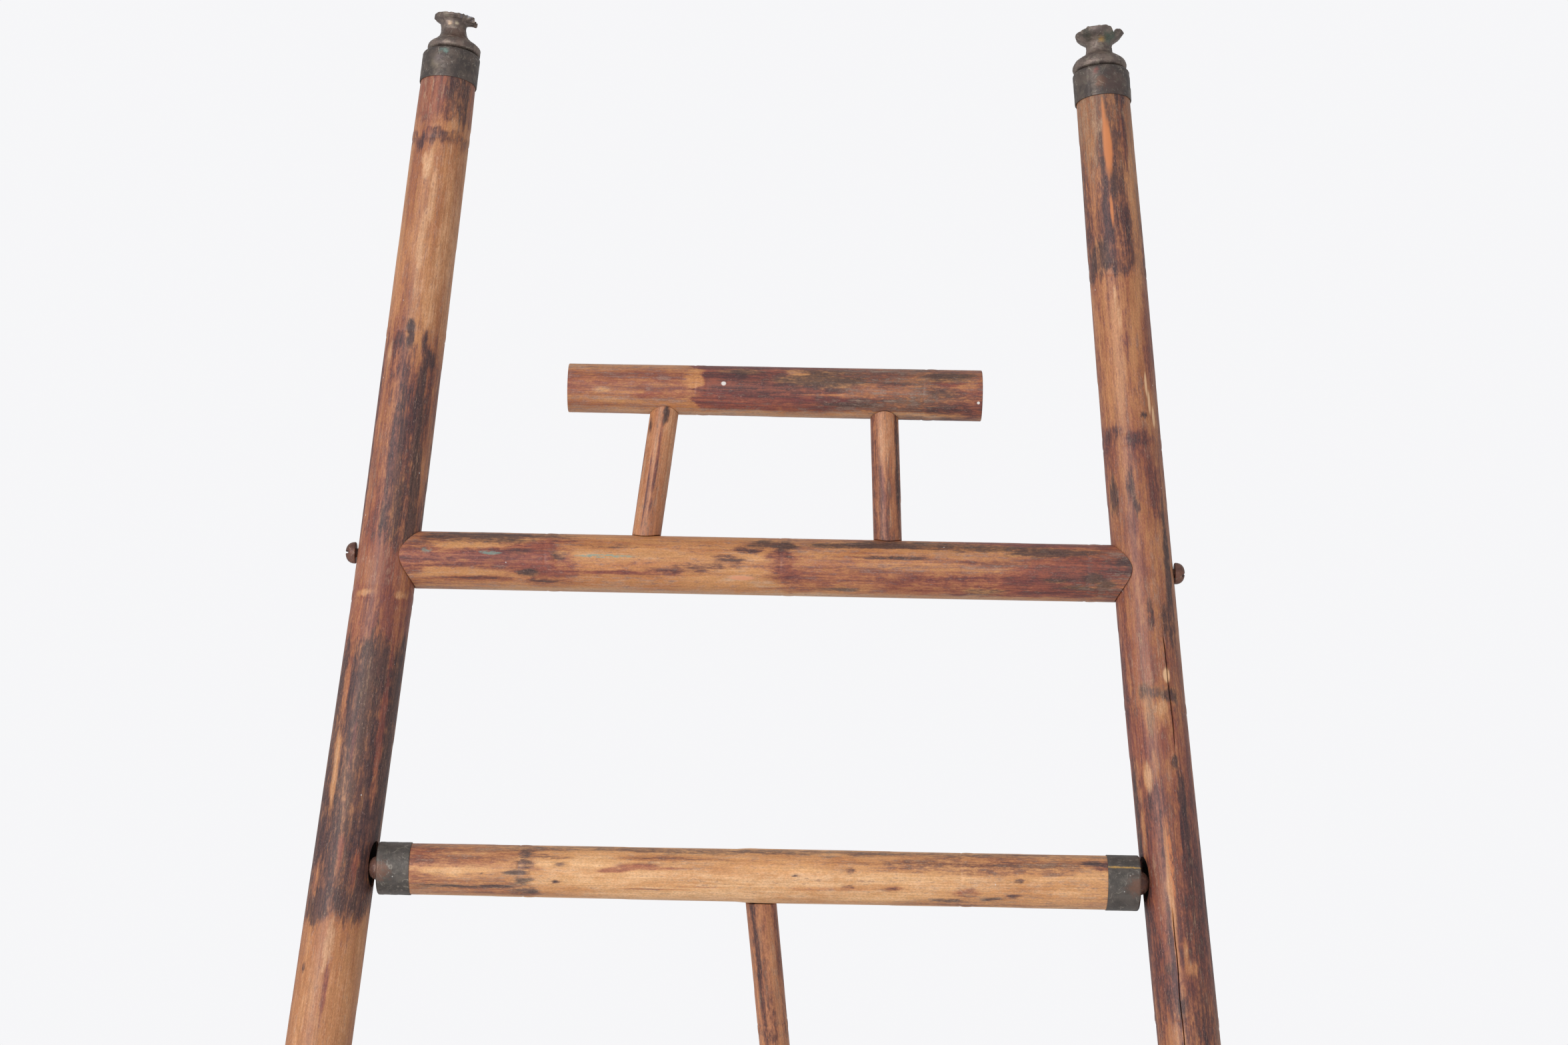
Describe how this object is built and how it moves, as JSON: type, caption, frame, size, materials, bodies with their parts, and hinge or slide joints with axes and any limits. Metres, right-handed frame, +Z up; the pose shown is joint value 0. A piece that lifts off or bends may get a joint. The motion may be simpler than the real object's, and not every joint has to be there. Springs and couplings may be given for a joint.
{
  "type": "display easel",
  "caption": "Free-standing floor easel of scorched bamboo with coped cross rails, a raised crest bar, brass-capped posts, picture pegs and a swinging rear leg.",
  "frame": {"origin": "on the floor, at the middle of the easel's bounding box as it stands open", "axes": "+Z up, -Y towards the viewer of the picture, +X towards the viewer's right"},
  "size_m": [0.677, 0.6458, 1.5002],
  "materials": {
    "post_bamboo": "scorched bamboo, worn varnish, satin",
    "rail_bamboo": "mottled honey and red-brown bamboo, satin",
    "bar_bamboo": "pale honey bamboo, satin",
    "thin_bamboo": "streaked brown bamboo, satin",
    "plug_wood": "raw softwood",
    "peg_wood": "turned wood, satin",
    "patinated_brass": "dark grey-brown patina",
    "rusty_iron": "rust-brown iron"
  },
  "bodies": {
    "front_frame": {"left_post": "post_bamboo", "right_post": "post_bamboo", "upper_rail": "rail_bamboo", "lower_rail": "rail_bamboo", "crest_bar": "rail_bamboo", "crest_strut_left": "thin_bamboo", "crest_strut_right": "thin_bamboo", "left_post_plug": "plug_wood", "right_post_plug": "plug_wood", "upper_rail_left_plug": "plug_wood", "upper_rail_right_plug": "plug_wood", "lower_rail_left_plug": "plug_wood", "lower_rail_right_plug": "plug_wood", "crest_bar_left_plug": "plug_wood", "crest_bar_right_plug": "plug_wood", "crest_strut_left_lower_dowel": "plug_wood", "crest_strut_left_upper_dowel": "plug_wood", "crest_strut_right_lower_dowel": "plug_wood", "crest_strut_right_upper_dowel": "plug_wood", "left_post_collar": "patinated_brass", "right_post_collar": "patinated_brass", "left_finial_stub": "patinated_brass", "right_finial_stub": "patinated_brass", "left_foot_ferrule": "patinated_brass", "right_foot_ferrule": "patinated_brass", "left_finial_screw": "rusty_iron", "right_finial_screw": "rusty_iron", "upper_rail_left_screw": "rusty_iron", "upper_rail_right_screw": "rusty_iron", "lower_rail_left_screw": "rusty_iron", "lower_rail_right_screw": "rusty_iron"},
    "rear_leg": {"pivot_bar": "bar_bamboo", "pivot_bar_left_plug": "plug_wood", "pivot_bar_right_plug": "plug_wood", "pivot_left_ferrule": "patinated_brass", "pivot_right_ferrule": "patinated_brass", "pivot_left_pin": "rusty_iron", "pivot_right_pin": "rusty_iron", "rear_leg_pole": "thin_bamboo", "rear_foot_ferrule": "patinated_brass", "leg_joint_nail": "rusty_iron"},
    "left_peg": {"left_picture_peg": "peg_wood"},
    "right_peg": {"right_picture_peg": "peg_wood"}
  },
  "joints": [
    {"name": "leg_swing", "type": "hinge", "parent": "front_frame", "child": "rear_leg", "pos_m": [0.00025, -0.06131, 1.02393], "axis": [1, 0, 0], "range_deg": [-30, 0]},
    {"name": "left_peg_pull", "type": "slide", "parent": "front_frame", "child": "left_peg", "axis": [0, -0.9724, 0.2334], "range_m": [0, 0.03]},
    {"name": "right_peg_pull", "type": "slide", "parent": "front_frame", "child": "right_peg", "axis": [0, -0.9724, 0.2334], "range_m": [0, 0.03]}
  ]
}
